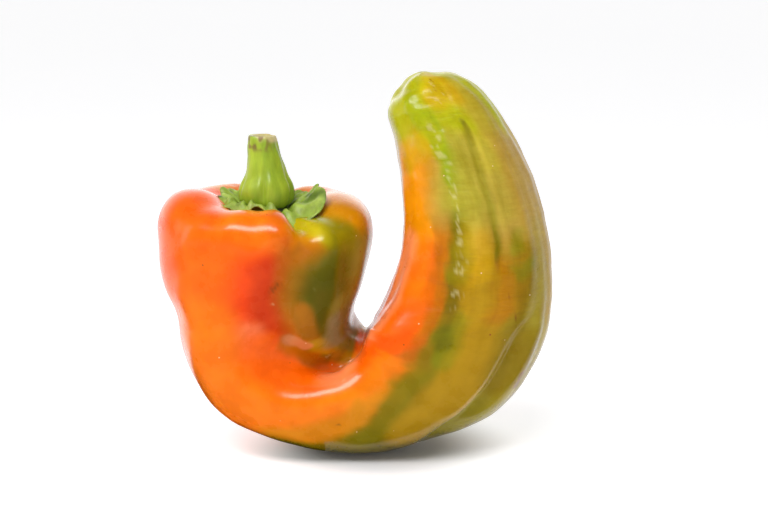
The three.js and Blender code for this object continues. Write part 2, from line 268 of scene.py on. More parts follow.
def subdivided(copy, name, levels):
    """Give a mesh of the bmesh, made finer and rounder by subdivision."""
    coarse = bpy.data.meshes.new(name)
    copy.to_mesh(coarse)
    copy.free()
    piece = bpy.data.objects.new(name, coarse)
    bpy.context.scene.collection.objects.link(piece)
    finer = piece.modifiers.new("Finer", "SUBSURF")
    finer.levels = levels
    finer.render_levels = levels
    graph = bpy.context.evaluated_depsgraph_get()
    mesh = bpy.data.meshes.new_from_object(piece.evaluated_get(graph))
    piece.modifiers.clear()
    piece.data = mesh
    bpy.data.meshes.remove(coarse)
    mesh.name = name
    mesh.polygons.foreach_set("use_smooth", np.ones(len(mesh.polygons), dtype=bool))
    return piece


def read_vectors(items, field):
    """Read one vector of each vertex or normal as rows of an array."""
    flat = np.empty(len(items) * 3, dtype=np.float32)
    items.foreach_get(field, flat)
    return flat.reshape(-1, 3).astype(float)


def shift_skin(piece, shifts):
    """Move each vertex by its shift in mm."""
    points = read_vectors(piece.data.vertices, "co") + shifts * MM
    piece.data.vertices.foreach_set("co", points.astype(np.float32).ravel())
    piece.data.update()


def raise_skin(piece, heights):
    """Move each vertex out along its normal by its height in mm."""
    shift_skin(piece, read_vectors(piece.data.vertex_normals, "vector") * heights[:, None])


def store_colours(piece, name, colours):
    """Keep one linear colour for each vertex."""
    layer = piece.data.color_attributes.new(name, "FLOAT_COLOR", "POINT")
    rows = np.column_stack((colours, np.ones(len(colours)))).astype(np.float32)
    layer.data.foreach_set("color", rows.ravel())


def store_numbers(piece, name, numbers):
    """Keep one number for each vertex."""
    layer = piece.data.attributes.new(name, "FLOAT", "POINT")
    layer.data.foreach_set("value", numbers.astype(np.float32))


def store_vectors(piece, name, vectors):
    """Keep one vector for each vertex."""
    layer = piece.data.attributes.new(name, "FLOAT_VECTOR", "POINT")
    layer.data.foreach_set("vector", vectors.astype(np.float32).ravel())


def hand_over(piece, node, material):
    """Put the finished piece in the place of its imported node."""
    piece.data.materials.append(material)
    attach(piece, "root")
    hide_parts(node)


def add_node(tree, kind, inputs=None, **choices):
    """Add one shader node with its choices and its inputs.

    An input is a value, another node's socket, or a node, of which the first output is taken.
    """
    node = tree.nodes.new(kind)
    for name, value in choices.items():
        setattr(node, name, value)
    for socket, value in (inputs or {}).items():
        if isinstance(value, bpy.types.Node):
            value = value.outputs[0]
        if isinstance(value, bpy.types.NodeSocket):
            tree.links.new(value, node.inputs[socket])
        else:
            node.inputs[socket].default_value = value
    return node


def new_material(name):
    """Give an empty material and its node tree."""
    material = bpy.data.materials.new(name)
    material.use_nodes = True
    material.node_tree.nodes.clear()
    return material, material.node_tree


# The colour under all strokes, by place along the fruit.
GROUND = (
    (-50, "orange"), (14, "orange"), (26, "tangerine"), (36, "apricot"), (48, "ochre"),
    (66, "ochre"), (112, "ochre"), (124, "sand"), (150, "sand"), (158, "lime"), (180, "lime"),
)

# How the skin is painted, stroke by stroke, the later over the earlier: the colour, how strong
# it is, its width and its fade in mm either side of a track, and the track. A track is a list
# of places along the fruit in mm and angles round it: 0 the inner side, 90 the viewer's side,
# 180 the outer side and 270 the back.
STROKES = (
    # Left lobe and crown.
    ("coral", 0.8, 12, 12, ((-44, 160), (-20, 160), (2, 168))),
    ("orange", 0.9, 9, 12, ((-42, 132), (-20, 134), (0, 136))),
    ("coral", 0.7, 12, 14, ((-30, 190), (0, 195), (20, 190))),
    ("tangerine", 0.85, 4, 7, ((-44, 100), (-37, 100), (-31, 90))),
    ("pumpkin", 0.8, 2, 4, ((-40, 76), (-30, 80))),
    # Front of the head and its hollow.
    ("orange", 0.9, 6, 9, ((-26, 108), (-12, 114), (0, 116))),
    ("vermilion", 0.95, 3.5, 7, ((-21, 90), (-12, 92), (0, 90))),
    # Partly painted shade: the red deepens down the valley.
    ("scarlet", 0.85, 2.5, 5, ((-22, 86), (-10, 85), (-2, 80))),
    # Painted sheen: a pale reflection on the lip of the hollow.
    ("salmon_sheen", 0.5, 1.5, 5, ((-2, 98), (5, 94))),
    ("tangerine", 0.7, 5, 9, ((-4, 128), (6, 124), (12, 128))),
    ("tangerine", 0.8, 5, 8, ((18, 106), (30, 90), (40, 76), (54, 66))),
    ("tangerine", 0.8, 4, 8, ((14, 138), (22, 120), (30, 104))),
    ("copper", 0.75, 1.5, 6, ((-26, 71), (-16, 72), (-8, 69), (0, 66))),
    # The small right lobe: yellow crest, olive shadow, dull right side.
    ("honey", 0.9, 6, 7, ((-46, 40), (-36, 32), (-32, 20))),
    ("ochre", 0.9, 5, 6, ((-32, 40), (-28, 30), (-24, 16))),
    ("amber", 0.85, 7, 8, ((-50, 22), (-42, 8), (-32, 4))),
    ("honey", 0.7, 5, 6, ((-46, 232), (-45, 262), (-46, 300))),
    ("lemon", 0.95, 4, 4, ((-46, 54), (-38, 55), (-34, 50))),
    ("spring", 0.6, 1.5, 3, ((-46, 42), (-39, 42))),
    ("amber", 0.8, 1, 4, ((-36, 67), (-29, 62), (-25, 60))),
    ("copper", 0.8, 2.5, 4, ((-26, 60), (-20, 64), (-12, 66), (-4, 62))),
    ("dusk", 0.9, 5, 7, ((-24, 24), (-8, 28), (8, 18), (26, 12))),
    ("olive", 0.85, 2.5, 4.5, ((-32, 37), (-26, 41), (-20, 46))),
    ("bronze", 0.55, 1, 5, ((-20, 64), (-12, 66), (-8, 62))),
    ("moss", 0.95, 4.5, 6, ((-20, 46), (-8, 49), (0, 45), (5, 41))),
    ("bottle", 0.3, 3, 6, ((-15, 51), (-3, 48))),
    ("moss", 0.4, 3, 5, ((-14, 38), (2, 36))),
    ("dusk", 0.6, 7, 10, ((-10, 340), (14, 344), (30, 350))),
    # The hollow behind the rim.
    ("orange", 0.95, 3.5, 6, ((6, 90), (16, 72), (26, 60), (42, 50), (62, 46))),
    ("copper", 0.7, 1.0, 3, ((-9, 64), (-3, 59), (4, 53))),
    ("ochre", 0.9, 2, 3, ((6, 50), (12, 42), (20, 36), (30, 30))),
    ("dusk", 0.8, 3, 4, ((-8, 34), (8, 30), (20, 20), (32, 12))),
    # Painted reflection: a greyish gloss in the crook.
    ("ash_reflection", 0.45, 0.8, 4.5, ((-4, 38), (6, 36), (13, 34), (14, 24))),
    # These moss and copper lines along the crease under the neck are painted shade.
    ("moss", 0.6, 0.8, 2.4, ((3, 73), (8, 62), (15, 52), (22, 43))),
    ("copper", 0.7, 0.6, 2.4, ((5, 75), (12, 58), (17, 50))),
    # Painted reflection: a pale pinkish patch of reflected light in the hollow.
    ("blush_reflection", 0.9, 1.4, 1.8, ((3, 72), (5, 62), (7, 56))),
    # Back of the head.
    ("vermilion", 0.6, 10, 12, ((-30, 250), (0, 246), (24, 240))),
    ("tangerine", 0.6, 6, 9, ((-40, 292), (-14, 300), (10, 300))),
    # The inner lobe, from the rim up the tail.
    ("vermilion", 0.7, 5, 7, ((40, 8), (70, 2), (100, -6))),
    ("orange", 0.95, 5, 8, ((54, 46), (72, 46), (92, 42))),
    ("vermilion", 0.5, 2, 14, ((60, 34), (80, 42), (92, 40))),
    ("orange", 0.95, 6, 6, ((90, 26), (100, 36), (112, 42), (120, 42))),
    ("tangerine", 0.9, 5, 6, ((106, 12), (118, 24), (128, 36))),
    ("apricot", 0.95, 6, 6, ((126, 36), (136, 42), (144, 42))),
    # Painted sheen: pale reflections along the inner edge of the tail.
    ("salmon_sheen", 0.8, 2, 7, ((28, 60), (36, 48), (44, 36), (56, 28), (72, 26))),
    ("salmon_sheen", 0.75, 2, 5, ((70, 24), (98, 27), (118, 28))),
    ("amber", 0.6, 3, 5, ((148, 38), (153, 44))),
    ("apricot", 0.85, 1.5, 7, ((122, 54), (132, 52), (140, 50))),
    ("tangerine", 0.85, 1.5, 7, ((104, 52), (116, 52))),
    ("pumpkin", 0.8, 1.5, 5, ((94, 60), (102, 61), (112, 61))),
    ("copper", 0.85, 1.5, 4.5, ((74, 68), (88, 66), (100, 67), (114, 67), (124, 66))),
    # Bottom of the bend.
    ("amber", 0.7, 3, 6, ((44, 90), (56, 78), (66, 68))),
    ("amber", 0.8, 2.5, 5, ((26, 122), (34, 104), (42, 94))),
    ("tangerine", 0.7, 2, 4, ((44, 72), (56, 64), (68, 62))),
    ("olive", 0.85, 4, 5, ((30, 142), (38, 128), (45, 116))),
    ("bronze", 0.6, 3, 5, ((46, 112), (52, 99), (60, 88), (68, 82))),
    ("olive", 0.75, 2, 3.5, ((44, 112), (50, 100), (58, 86), (66, 79), (76, 74), (88, 74))),
    ("moss", 0.7, 7, 9, ((32, 150), (48, 146), (62, 142))),
    ("olive", 0.6, 5, 7, ((64, 142), (76, 140), (90, 134))),
    ("ochre", 0.8, 4, 5, ((56, 116), (68, 108), (82, 104))),
    ("straw", 0.4, 3, 6, ((66, 138), (78, 132), (90, 128))),
    ("olive", 0.6, 12, 12, ((36, 186), (58, 190), (84, 190))),
    ("leaf", 0.5, 9, 12, ((44, 236), (70, 240), (96, 236))),
    # Front of the tail: the green band, its neighbours and the outer ridge.
    ("leaf", 0.5, 2.5, 3, ((80, 82), (92, 79))),
    ("moss", 0.55, 0.8, 3.2, ((85, 78), (93, 76))),
    ("sand", 0.75, 2, 7, ((130, 66), (138, 65), (146, 64))),
    ("bronze", 0.8, 1.2, 3, ((95, 75), (110, 75), (124, 75))),
    ("leaf", 0.6, 1.5, 3, ((110, 76), (118, 77), (134, 77), (146, 76))),
    ("lime", 0.6, 4, 5, ((136, 82), (146, 82), (156, 80))),
    ("spring", 0.4, 2.5, 4, ((132, 78), (140, 78), (148, 76))),
    ("moss", 0.45, 0.8, 2.5, ((98, 74), (118, 74), (128, 74))),
    ("straw", 0.6, 2, 5, ((134, 70), (148, 72))),
    ("spring", 0.9, 3, 4, ((142, 78), (150, 74), (158, 72))),
    ("honey", 0.5, 2, 8, ((112, 87), (122, 88))),
    ("straw", 0.85, 2, 7, ((131, 88), (138, 90), (150, 94))),
    ("olive", 0.8, 0.5, 1.8, ((114, 106), (127, 105), (144, 105), (158, 108))),
    ("copper", 0.5, 3, 5, ((98, 108), (104, 116), (110, 118))),
    ("bronze", 0.6, 2, 8, ((102, 128), (114, 128))),
    ("bronze", 0.7, 5, 6, ((84, 130), (96, 136), (106, 138))),
    ("bronze", 0.7, 2.5, 4, ((104, 138), (116, 140))),
    ("leaf", 0.5, 1.2, 2.5, ((119, 122), (123, 126))),
    ("leaf", 0.45, 1.0, 2.5, ((110, 120), (112, 130))),
    ("sand", 0.7, 4, 6, ((124, 142), (142, 138))),
    ("lemon", 0.4, 2, 4, ((146, 116), (152, 118))),
    ("straw", 0.6, 2, 7, ((131, 110), (150, 114))),
    ("straw", 0.5, 5, 8, ((96, 150), (120, 158))),
    ("sand", 0.6, 4, 6, ((146, 140), (158, 136), (166, 130))),
    # Outer side and back of the tail.
    ("ochre", 0.7, 8, 10, ((100, 178), (126, 182), (146, 182))),
    ("leaf", 0.6, 7, 9, ((94, 216), (120, 220), (148, 220))),
    ("ochre", 0.6, 6, 8, ((94, 256), (120, 262), (146, 262))),
    ("tangerine", 0.75, 8, 10, ((84, 316), (110, 322), (140, 326))),
    ("amber", 0.5, 6, 8, ((70, 280), (96, 290))),
    # Tip.
    ("lime", 0.8, 4, 8, ((158, 30), (161, 60))),
    ("spring", 0.5, 3, 4, ((158, 66), (164, 56))),
    ("lime", 0.7, 2.5, 4, ((152, 62), (154, 70))),
    ("honey", 0.7, 2, 5, ((146, 36), (151, 50))),
    ("honey", 0.65, 2.5, 5, ((168, 88), (170, 104), (170, 116))),
    ("lemon", 0.5, 2, 4, ((172, 80), (174, 90))),
)


def distance_to_track(along, angle, track):
    """Give each place's distance in mm from a track on the skin laid flat."""
    nearest = np.full(len(along), np.inf)
    for (start, start_angle), (end, end_angle) in zip(track, track[1:]):
        turn = np.radians(turn_from(start_angle, angle))
        step = np.array((end - start, math.radians(end_angle - start_angle) * SKIN_RADIUS))
        place = np.column_stack((along - start, turn * SKIN_RADIUS))
        share = np.clip(place @ step / (step @ step), 0, 1)
        nearest = np.minimum(nearest, np.linalg.norm(place - share[:, None] * step, axis=1))
    return nearest


def painted_skin(places, shades):
    """Paint the ground and the strokes, with edges that wander by a mm or so."""
    wander = 1.2 * ripple(places, (18, 18, 24), 11) + 0.5 * ripple(places, (5, 5, 10), 12)
    drift = 0.9 * ripple(places, (16, 16, 22), 13) + 0.45 * ripple(places, (5, 5, 10), 14)
    # The edges wander less on the head than on the tail.
    share = 0.4 + 0.6 * smooth_step(places[:, 2], 30, 80)
    along = places[:, 2] + share * wander
    angle = angle_round(places, share * drift / SKIN_RADIUS)
    stations = [place for place, _ in GROUND]
    skin = np.column_stack([
        np.interp(along, stations, [shades[name][i] for _, name in GROUND]) for i in range(3)
    ])
    for shade, strength, width, fade, track in STROKES:
        away = distance_to_track(along, angle, track)
        faded = smooth_step(away, width, width + fade)
        skin = blended(skin, strength * (1 - faded), shades[shade])
    return skin


# Long folds that the head's lobes and the tail's ridges leave in the skin: height and width in
# mm, and a track as for the strokes.
FOLDS = (
    # The notch between the front lobe and the small one, and the groove that goes on below it.
    (-2.0, 3.2, ((-48, 56), (-38, 59))),
    (-0.9, 4.5, ((-38, 59), (-28, 65))),
    (-1.2, 7.0, ((-30, 67), (-16, 72), (-4, 74))),
    # The small lobe, and the groove between it and the lobe at the right.
    (1.1, 7.0, ((-44, 46), (-22, 50))),
    (-0.8, 5.0, ((-46, 36), (-34, 33), (-22, 34))),
    # The front lobe's crest, and the hollow between it and the left lobe.
    (1.1, 5.0, ((-39, 77), (-35, 75))),
    (-0.5, 4.0, ((-43, 93), (-32, 92))),
    (-0.9, 6.0, ((-46, 122), (-36, 121), (-27, 120))),
    # The crease and the hollow under the neck.
    (-1.6, 4.0, ((1, 74), (8, 62), (16, 50), (28, 38))),
    (-1.6, 6.0, ((1, 104), (7, 92), (12, 80))),
    # The swollen rim round the hollow, and the lip of the inner lobe.
    (2.1, 8.5, ((6, 124), (14, 110), (22, 95), (30, 80), (40, 66), (56, 54), (88, 46))),
    (1.3, 7.0, ((3, 121), (11, 109), (18, 99))),
    (1.3, 4.0, ((34, 53), (42, 46), (60, 38), (84, 32))),
    # The crease at the lower right, and the grooves of the tail.
    (-1.2, 2.0, ((90, 132), (85, 127), (79, 126), (70, 128), (60, 138))),
    (0.7, 3.0, ((88, 144), (80, 139), (70, 141))),
    (-0.9, 1.6, ((112, 106), (127, 105), (144, 105), (158, 108))),
    (0.5, 2.0, ((118, 112), (136, 112), (152, 114))),
    (0.5, 3.0, ((104, 92), (130, 92), (152, 92))),
    (-0.4, 1.8, ((84, 75), (110, 72), (140, 71))),
    (-0.4, 2.0, ((104, 122), (124, 122))),
    (0.4, 3.0, ((108, 132), (140, 130))),
)
# How many small dents the skin has, and the angle of the green band that is most wrinkled.
DENT_COUNT = 170
BAND_ANGLE = 76

# Small marks on the skin: place along, angle, and reach along and across in mm either side.
# Pale cork dashes, partly painted glints, lie mostly down the green band; dry brown scars all
# over.
CORK_MARKS = (
    (157, 70, 1.5, 1.6), (154, 74, 0.5, 1.9), (151, 68, 0.5, 1.2), (148, 71, 1.2, 2.1),
    (145.5, 75, 0.5, 1.8), (143, 76, 0.6, 2.2), (140.5, 74, 0.9, 0.8), (138, 77, 1.4, 0.8),
    (135, 76, 1.2, 0.6), (131, 76, 1.8, 0.6), (127, 75, 1.4, 0.6), (124, 76, 0.7, 0.5),
    (120, 75, 1.5, 0.7), (116, 75, 0.9, 0.6), (113, 76, 0.6, 1.1), (110.5, 75, 0.7, 1.7),
    (106, 76, 0.5, 0.7), (103, 74, 0.8, 2.1), (98, 72, 0.4, 0.9), (-17, 84, 0.6, 0.5),
    (-15, 81, 0.4, 0.7), (-12, 84, 0.5, 0.4), (-19, 58, 0.3, 0.6), (-16, 56, 0.5, 0.3),
    (171, 96, 0.4, 1.0), (169, 88, 0.5, 0.6), (166, 92, 0.4, 1.2), (168, 104, 0.5, 0.9),
    (20, 41, 0.8, 0.5), (84, 152, 1.3, 0.7), (76, 148, 1.0, 0.8),
)
SCARS = (
    (-18, 80, 0.7, 0.6), (-16, 83, 0.5, 0.8), (80, 144, 1.5, 0.9), (78, 147, 0.8, 1.2),
    (146, 104, 0.8, 0.3), (139, 103, 1.0, 0.3), (97, 118, 0.5, 0.5), (94, 121, 0.4, 0.5),
    (101, 112, 0.4, 0.6), (172, 100, 0.4, 0.7), (170, 97, 0.4, 0.4), (48, 92, 0.4, 0.4),
    (56, 100, 0.4, 0.4), (40, 84, 0.4, 0.4), (60, 84, 0.35, 0.4), (36, 96, 0.4, 0.3),
)
# Height or depth of the marks in mm, and how strongly they colour the skin: cork partly as
# painted glints.
CORK_HEIGHT = 0.12
CORK_AND_GLINT_TINT = 0.38
SCAR_DEPTH = 0.15
SCAR_TINT = 0.8


def mark_cover(places, marks):
    """Give how much of each place the marks cover, with frayed edges."""
    along = places[:, 2] + 0.5 * ripple(places, (1.8, 1.8, 1.8), 21)
    angle = angle_round(places, 0.03 * ripple(places, (1.5, 1.5, 1.5), 22))
    cover = np.zeros(len(places))
    for mark_along, mark_angle, height, width in marks:
        aside = np.radians(turn_from(mark_angle, angle)) * SKIN_RADIUS
        reach = np.hypot(aside / width, (along - mark_along) / height)
        cover = np.maximum(cover, 1 - smooth_step(reach, 0.5, 1.35))
    return cover


def fold_heights(places):
    """Give the height in mm that the folds add to the skin."""
    angle = angle_round(places)
    heights = np.zeros(len(places))
    for height, width, track in FOLDS:
        heights += height * swell(distance_to_track(places[:, 2], angle, track), 0, width)
    return heights


def dullness(places):
    """Give how dull the skin is, from the wax of the head to the dry outer side of the tail."""
    angle = angle_round(places) % 360
    outer = smooth_step(angle, 46, 72) * (1 - smooth_step(angle, 300, 330))
    return outer * smooth_step(places[:, 2], 70, 100)


def dent_depths(points):
    """Give how deep small random dents go at each point, 1 for a full one."""
    dice = np.random.default_rng(5)
    depths = np.zeros(len(points))
    for middle in points[dice.integers(0, len(points), DENT_COUNT)]:
        radius = dice.uniform(0.9, 2.4)
        away = np.linalg.norm(points - middle, axis=1) / radius
        depths += dice.uniform(0.2, 1) * np.exp(-2 * away ** 2)
    return depths


def fruit_relief(points, places, sizes):
    """Give the height in mm that the folds and the fine relief add to the skin."""
    along = places[:, 2]
    tail = smooth_step(along, 60, 100)
    ridges = ripple(places, (9, 9, 80), 31) * tail
    waves = ripple(points, (17, 17, 17), 32)
    band = swell(angle_round(places), BAND_ANGLE, 22) * smooth_step(along, 84, 100)
    wrinkles = ripple(places, (9, 9, 3.4), 33) * (0.25 * tail + band)
    # The spot that the fruit rests on stays flat.
    above_table = smooth_step(points[:, 2], 0.6, 4.0)
    height = (
        sizes.ridge_height * ridges + sizes.wave_height * waves
        + sizes.wrinkle_height * wrinkles - sizes.dent_depth * dent_depths(points)
    )
    return above_table * (height / MM + fold_heights(places))


def waxy_skin():
    """Cuticle of a ripening sweet pepper: waxy and glossy, with mottles, streaks and specks.

    A clear thin wax over soft flesh gives bright highlights on a deep, even colour.
    """
    material, tree = new_material("waxy_pepper_skin")
    place = add_node(tree, "ShaderNodeTexCoord").outputs["Object"]
    paint = add_node(tree, "ShaderNodeAttribute", attribute_name="paint")
    straight = add_node(tree, "ShaderNodeAttribute", attribute_name="unbent").outputs["Vector"]

    # Mottles about 7 mm across shift the ripeness; streaks 2 mm wide run 30 mm along.
    mottle = add_node(tree, "ShaderNodeTexNoise", {
        "Vector": place, "Scale": 1 / 0.007, "Detail": 3.0, "Roughness": 0.55,
    })
    stretched = add_node(tree, "ShaderNodeMapping", {
        "Vector": straight, "Scale": (1 / 2.2, 1 / 2.2, 1 / 30),
    })
    streak = add_node(tree, "ShaderNodeTexNoise", {
        "Vector": stretched, "Scale": 1.0, "Detail": 3.0, "Roughness": 0.6,
    })
    deeper = add_node(tree, "ShaderNodeHueSaturation", {
        "Hue": 0.498, "Saturation": 1.03, "Value": 0.84, "Color": paint,
    })
    paler = add_node(tree, "ShaderNodeHueSaturation", {
        "Hue": 0.503, "Saturation": 1.0, "Value": 1.12, "Color": paint,
    })
    mottled = add_node(tree, "ShaderNodeMapRange", {
        "Value": mottle, "From Min": 0.35, "From Max": 0.65,
    })
    dull = add_node(tree, "ShaderNodeAttribute", attribute_name="dull").outputs["Fac"]
    # Wrinkles 1.4 mm wide and 6 mm long lie across the dull skin of the tail.
    crosswise = add_node(tree, "ShaderNodeMapping", {
        "Vector": straight, "Scale": (1 / 6, 1 / 6, 1 / 1.4),
    })
    wrinkle = add_node(tree, "ShaderNodeTexNoise", {
        "Vector": crosswise, "Scale": 1.0, "Detail": 4.0, "Roughness": 0.65,
    })
    woven = add_node(tree, "ShaderNodeMath", {0: streak, 1: wrinkle}, operation="ADD")
    clear = add_node(tree, "ShaderNodeMapRange", {
        "Value": woven, "From Min": 0.78, "From Max": 1.22,
    })
    streaked = add_node(tree, "ShaderNodeMix", {0: dull, 2: 0.5, 3: clear})
    shifting = add_node(tree, "ShaderNodeMath", {0: mottled, 1: streaked}, operation="ADD")
    halved = add_node(tree, "ShaderNodeMath", {0: shifting, 1: 0.5}, operation="MULTIPLY")
    flesh = add_node(tree, "ShaderNodeMix", {0: halved, 6: deeper, 7: paler}, data_type="RGBA")

    # Pale specks of cork 0.4 mm across, in one of five cells of 4 mm, and brown specks 0.5 mm
    # across, in one of three cells of 7 mm.
    finish = flesh.outputs[2]
    for cell, radius, share, hex_colour in (
        (0.004, 0.045, 0.22, "#f0cfa0"), (0.007, 0.035, 0.35, "#8a4812"),
    ):
        cells = add_node(tree, "ShaderNodeTexVoronoi", {"Vector": place, "Scale": 1 / cell})
        near = add_node(tree, "ShaderNodeMapRange", {
            "Value": cells.outputs["Distance"], "From Min": radius * 1.6, "From Max": radius,
        })
        chance = add_node(tree, "ShaderNodeSeparateColor", {"Color": cells.outputs["Color"]})
        chosen = add_node(tree, "ShaderNodeMath", {0: chance, 1: share}, operation="LESS_THAN")
        speck = add_node(tree, "ShaderNodeMath", {0: near, 1: chosen}, operation="MULTIPLY")
        speckled = add_node(tree, "ShaderNodeMix", {
            0: speck, 6: finish, 7: (*linear(hex_colour), 1),
        }, data_type="RGBA")
        finish = speckled.outputs[2]

    # The cuticle's own grain, 0.5 mm apart, is drawn at 1.1 mm so that it shows.
    grain = add_node(tree, "ShaderNodeTexNoise", {
        "Vector": place, "Scale": 1 / 0.0011, "Detail": 2.0,
    })
    bump = add_node(tree, "ShaderNodeBump", {
        "Height": grain, "Strength": 0.12, "Distance": 0.0002,
    })
    slow_bump = add_node(tree, "ShaderNodeBump", {
        "Height": mottle, "Strength": 0.25, "Distance": 0.0006, "Normal": bump,
    })
    rugged = add_node(tree, "ShaderNodeMath", {0: dull, 1: wrinkle}, operation="MULTIPLY")
    cross_bump = add_node(tree, "ShaderNodeBump", {
        "Height": rugged, "Strength": 0.5, "Distance": 0.0007, "Normal": slow_bump,
    })
    worn = add_node(tree, "ShaderNodeMath", {
        0: dull, 1: 0.17, 2: mottle,
    }, operation="MULTIPLY_ADD")
    rough = add_node(tree, "ShaderNodeMapRange", {
        "Value": worn, "From Min": 0.3, "From Max": 0.8, "To Min": 0.2, "To Max": 0.42,
    })
    wax = add_node(tree, "ShaderNodeMapRange", {"Value": dull, "To Min": 0.7, "To Max": 0.3})
    skin = add_node(tree, "ShaderNodeBsdfPrincipled", {
        "Base Color": finish, "Roughness": rough, "IOR": 1.36,
        "Subsurface Weight": 0.12, "Subsurface Radius": (1.0, 0.4, 0.12),
        "Subsurface Scale": 0.003, "Specular IOR Level": 0.2,
        "Coat Weight": wax, "Coat Roughness": 0.2, "Coat IOR": 1.5,
        "Normal": cross_bump,
    })
    add_node(tree, "ShaderNodeOutputMaterial", {"Surface": skin})
    return material


def leafy_collar():
    """Calyx of a sweet pepper: soft satin leaf tissue with veins, duller than the fruit."""
    material, tree = new_material("leafy_calyx")
    place = add_node(tree, "ShaderNodeTexCoord").outputs["Object"]
    paint = add_node(tree, "ShaderNodeAttribute", attribute_name="paint")
    mottle = add_node(tree, "ShaderNodeTexNoise", {
        "Vector": place, "Scale": 1 / 0.0025, "Detail": 4.0, "Roughness": 0.6,
    })
    value = add_node(tree, "ShaderNodeMapRange", {
        "Value": mottle, "From Min": 0.3, "From Max": 0.7, "To Min": 0.72, "To Max": 1.2,
    })
    tissue = add_node(tree, "ShaderNodeHueSaturation", {"Value": value, "Color": paint})
    # Leaf pores 0.1 mm apart are drawn at 0.7 mm so that they show.
    pores = add_node(tree, "ShaderNodeTexNoise", {"Vector": place, "Scale": 1 / 0.0007})
    bump = add_node(tree, "ShaderNodeBump", {
        "Height": pores, "Strength": 0.35, "Distance": 0.0002,
    })
    leaf = add_node(tree, "ShaderNodeBsdfPrincipled", {
        "Base Color": tissue, "Roughness": 0.5, "IOR": 1.4,
        "Subsurface Weight": 0.15, "Subsurface Radius": (0.6, 1.0, 0.2),
        "Subsurface Scale": 0.0015, "Coat Weight": 0.15, "Coat Roughness": 0.3,
        "Normal": bump,
    })
    add_node(tree, "ShaderNodeOutputMaterial", {"Surface": leaf})
    return material


def fibrous_stalk():
    """Stalk of a sweet pepper: firm satin fibres along it, with a dry corky cut end."""
    material, tree = new_material("fibrous_stalk")
    place = add_node(tree, "ShaderNodeTexCoord").outputs["Object"]
    paint = add_node(tree, "ShaderNodeAttribute", attribute_name="paint")
    stretched = add_node(tree, "ShaderNodeMapping", {
        "Vector": place, "Scale": (1 / 0.0009, 1 / 0.0009, 1 / 0.007),
    })
    fibre = add_node(tree, "ShaderNodeTexNoise", {
        "Vector": stretched, "Scale": 1.0, "Detail": 4.0, "Roughness": 0.6,
    })
    value = add_node(tree, "ShaderNodeMapRange", {
        "Value": fibre, "From Min": 0.3, "From Max": 0.7, "To Min": 0.88, "To Max": 1.06,
    })
    tissue = add_node(tree, "ShaderNodeHueSaturation", {"Value": value, "Color": paint})
    bump = add_node(tree, "ShaderNodeBump", {
        "Height": fibre, "Strength": 0.15, "Distance": 0.0002,
    })
    stalk = add_node(tree, "ShaderNodeBsdfPrincipled", {
        "Base Color": tissue, "Roughness": 0.42, "IOR": 1.4,
        "Subsurface Weight": 0.15, "Subsurface Radius": (0.6, 1.0, 0.2),
        "Subsurface Scale": 0.002, "Coat Weight": 0.25, "Coat Roughness": 0.25,
        "Normal": bump,
    })
    add_node(tree, "ShaderNodeOutputMaterial", {"Surface": stalk})
    return material


def smooth_seam(copy, inside, rounds):
    """Smooth the vertices that the test picks, a little each round."""
    picked = [vert for vert in copy.verts if inside(vert.co / MM)]
    for _ in range(rounds):
        bmesh.ops.smooth_vert(
            copy, verts=picked, factor=0.35, use_axis_x=True, use_axis_y=True, use_axis_z=True,
        )


class PEPPER_OT_fruit(bpy.types.Operator):
    """Build the fruit's skin with its relief and its painted colours"""

    bl_idname = "pepper.fruit"
    bl_label = "Pepper fruit"

    def execute(self, context):
        sizes = context.scene.pepper_fruit
        palette = context.scene.pepper_skin
        names = PepperSkinColours.__annotations__
        shades = {name: tuple(getattr(palette, name)) for name in names}
        copy = merged_copy("fruit")
        # Slight steps across the head and below the tip are smoothed away.
        smooth_seam(copy, lambda at: at.x < 10 and 66 < at.z < 77, 3)
        smooth_seam(copy, lambda at: at.x > 10 and 107 < at.z < 118, 3)
        piece = subdivided(copy, "fruit_skin", sizes.fineness)
        points = read_vectors(piece.data.vertices, "co") / MM
        places = unbend(points)
        cork_and_glint_cover = mark_cover(places, CORK_MARKS)
        scars = mark_cover(places, SCARS)
        relief = fruit_relief(points, places, sizes)
        raise_skin(piece, relief + CORK_HEIGHT * cork_and_glint_cover - SCAR_DEPTH * scars)
        skin = painted_skin(places, shades)
        # Cream over the cork dashes is partly their own colour and partly painted glints.
        skin = blended(skin, CORK_AND_GLINT_TINT * cork_and_glint_cover, shades["cream"])
        skin = blended(skin, SCAR_TINT * scars, shades["umber"])
        store_colours(piece, "paint", skin)
        store_numbers(piece, "dull", dullness(places))
        store_vectors(piece, "unbent", places)
        hand_over(piece, "fruit", waxy_skin())
        return {"FINISHED"}


def round_stem(points):
    """Give the distance from the stem's axis in mm and the angle round it of each point."""
    aside = points[:, 0] - STEM_X
    return np.hypot(aside, points[:, 1]), np.arctan2(-points[:, 1], aside)


# The collar's lumps and veins by number, the ring of lumps by its radius in mm, the drop of the
# front edge in mm, and by angles in radians the flap, its reach to the front and a crease
# darkened with painted shade.
LUMP_COUNT = 14
VEIN_COUNT = 23
LUMP_RING = 11
EDGE_DROP = 1.9
FLAP_ANGLE = 0.2
REACH_ANGLE = 0.6
CREASE_ANGLE = 0.28


